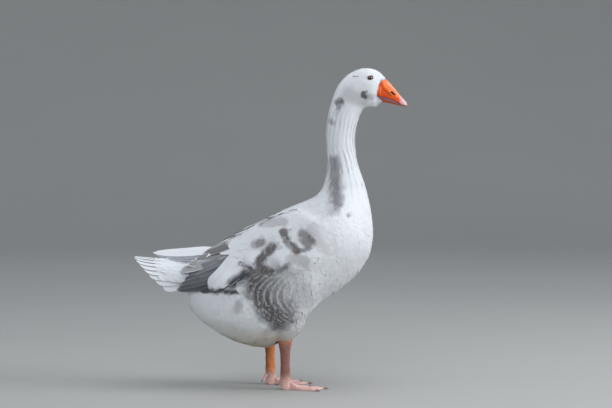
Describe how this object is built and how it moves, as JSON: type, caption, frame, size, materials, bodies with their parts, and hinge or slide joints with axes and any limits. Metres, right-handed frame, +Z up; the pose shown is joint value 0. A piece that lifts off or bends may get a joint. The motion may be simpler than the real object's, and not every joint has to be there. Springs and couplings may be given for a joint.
{
  "type": "domestic goose",
  "caption": "Life-size standing domestic goose, white with grey-brown patches, neck raised, wings folded, on webbed feet; a still display model.",
  "frame": {"origin": "bottom centre of the goose's bounding box, on the floor it stands on", "axes": "+X forward, from tail to bill; +Y to the goose's left; +Z up"},
  "size_m": [0.5746, 0.2274, 0.6709],
  "materials": {
    "plumage": "white body feathers with soft grey-brown patches, matt with a faint sheen",
    "wing_feathers": "white and slate-grey wing feathers with pale edges, matt",
    "bill": "orange horn with a soft satin sheen",
    "bill_nail": "pale pinkish horn, satin",
    "eye": "dark brown, wet and glossy",
    "leg_skin": "pinkish orange scaled skin, satin",
    "claw": "dark horn, satin"
  },
  "bodies": {
    "root": {"head": "plumage", "neck_upper": "plumage", "neck_middle": "plumage", "neck_lower": "plumage", "breast": "plumage", "trunk": "plumage", "rump": "plumage", "tail": "plumage", "thigh_right": "plumage", "thigh_left": "plumage", "wing_right": "wing_feathers", "wing_left": "wing_feathers", "tertials_right": "wing_feathers", "tertials_left": "wing_feathers", "primaries_right": "wing_feathers", "primaries_left": "wing_feathers", "bill_upper": "bill", "bill_lower": "bill", "bill_nail": "bill_nail", "eye_right": "eye", "eye_left": "eye", "shank_right": "leg_skin", "shank_left": "leg_skin", "foot_right": "leg_skin", "foot_left": "leg_skin", "hind_toe_right": "leg_skin", "hind_toe_left": "leg_skin", "claw_right_inner": "claw", "claw_right_middle": "claw", "claw_right_outer": "claw", "claw_right_hind": "claw", "claw_left_inner": "claw", "claw_left_middle": "claw", "claw_left_outer": "claw", "claw_left_hind": "claw"}
  },
  "joints": []
}
